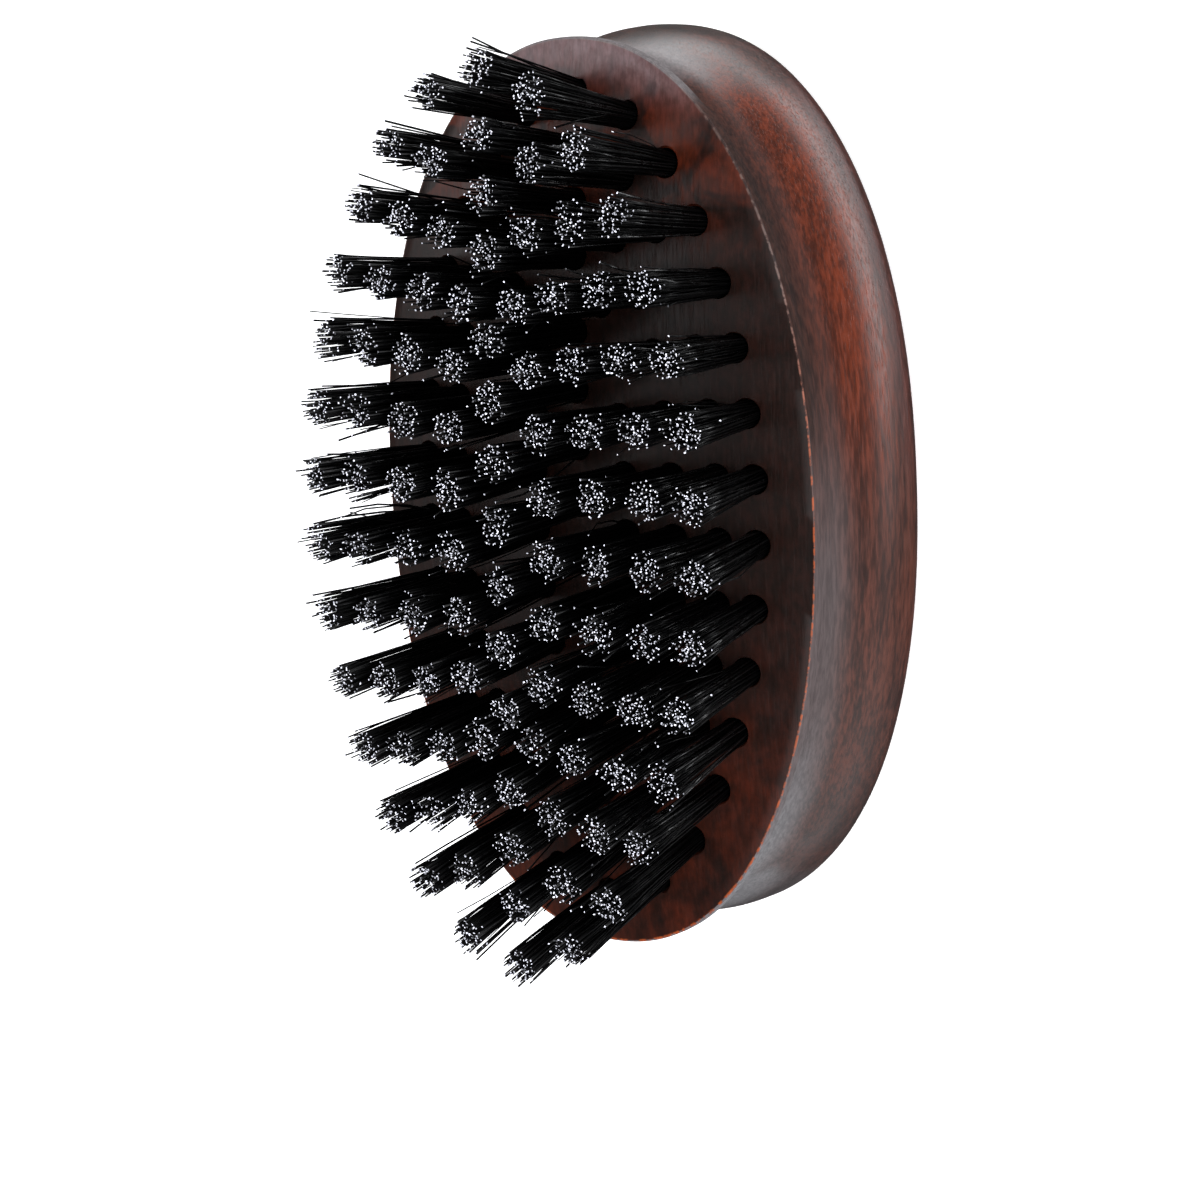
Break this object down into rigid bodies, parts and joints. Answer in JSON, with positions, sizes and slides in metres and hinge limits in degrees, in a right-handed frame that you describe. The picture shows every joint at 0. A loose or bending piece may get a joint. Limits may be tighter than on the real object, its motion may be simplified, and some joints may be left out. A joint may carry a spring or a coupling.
{
  "type": "beard brush",
  "caption": "Oval palm beard brush: a dark stained wooden block with a finger groove all round and tufts of stiff black bristle standing out of its domed face.",
  "frame": {"origin": "bottom centre of the bounding box: under the middle of the block, on the surface that its back lies on", "axes": "+Y along the block towards its head end, +X across the block, +Z out of the bristle face"},
  "size_m": [0.0582, 0.1008, 0.0446],
  "materials": {
    "wood": "dark mahogany stain under satin lacquer, red-brown and black streaks along the grain",
    "bristle": "jet black bristle with pale cut ends",
    "anchor_wire": "flat drawn wire"
  },
  "bodies": {
    "root": {"wood_block": "wood", "tuft_row_left_01": "bristle", "tuft_row_left_02": "bristle", "tuft_row_left_03": "bristle", "tuft_row_left_04": "bristle", "tuft_row_left_05": "bristle", "tuft_row_left_06": "bristle", "tuft_row_left_07": "bristle", "tuft_row_left_08": "bristle", "tuft_row_left_09": "bristle", "tuft_row_left_10": "bristle", "tuft_row_left_11": "bristle", "tuft_row_left_12": "bristle", "tuft_row_left_13": "bristle", "tuft_row_left_14": "bristle", "tuft_row_right_01": "bristle", "tuft_row_right_02": "bristle", "tuft_row_right_03": "bristle", "tuft_row_right_04": "bristle", "tuft_row_right_05": "bristle", "tuft_row_right_06": "bristle", "tuft_row_right_07": "bristle", "tuft_row_right_08": "bristle", "tuft_row_right_09": "bristle", "tuft_row_right_10": "bristle", "tuft_row_right_11": "bristle", "tuft_row_right_12": "bristle", "tuft_row_right_13": "bristle", "tuft_row_right_14": "bristle", "tuft_head_1": "bristle", "tuft_head_2": "bristle", "tuft_head_3": "bristle", "tuft_head_4": "bristle", "tuft_tail_1": "bristle", "tuft_tail_2": "bristle", "tuft_tail_3": "bristle", "tuft_tail_4": "bristle", "tuft_center_1": "bristle", "tuft_center_2": "bristle", "tuft_center_3": "bristle", "tuft_center_4": "bristle", "tuft_center_5": "bristle", "tuft_center_6": "bristle", "tuft_center_7": "bristle", "anchor_head_1": "anchor_wire", "anchor_head_2": "anchor_wire", "anchor_head_3": "anchor_wire", "anchor_head_4": "anchor_wire", "anchor_tail_1": "anchor_wire", "anchor_tail_2": "anchor_wire", "anchor_tail_3": "anchor_wire", "anchor_tail_4": "anchor_wire", "anchor_center_1": "anchor_wire", "anchor_center_2": "anchor_wire", "anchor_center_3": "anchor_wire", "anchor_center_4": "anchor_wire", "anchor_center_5": "anchor_wire", "anchor_center_6": "anchor_wire", "anchor_center_7": "anchor_wire"}
  },
  "joints": []
}
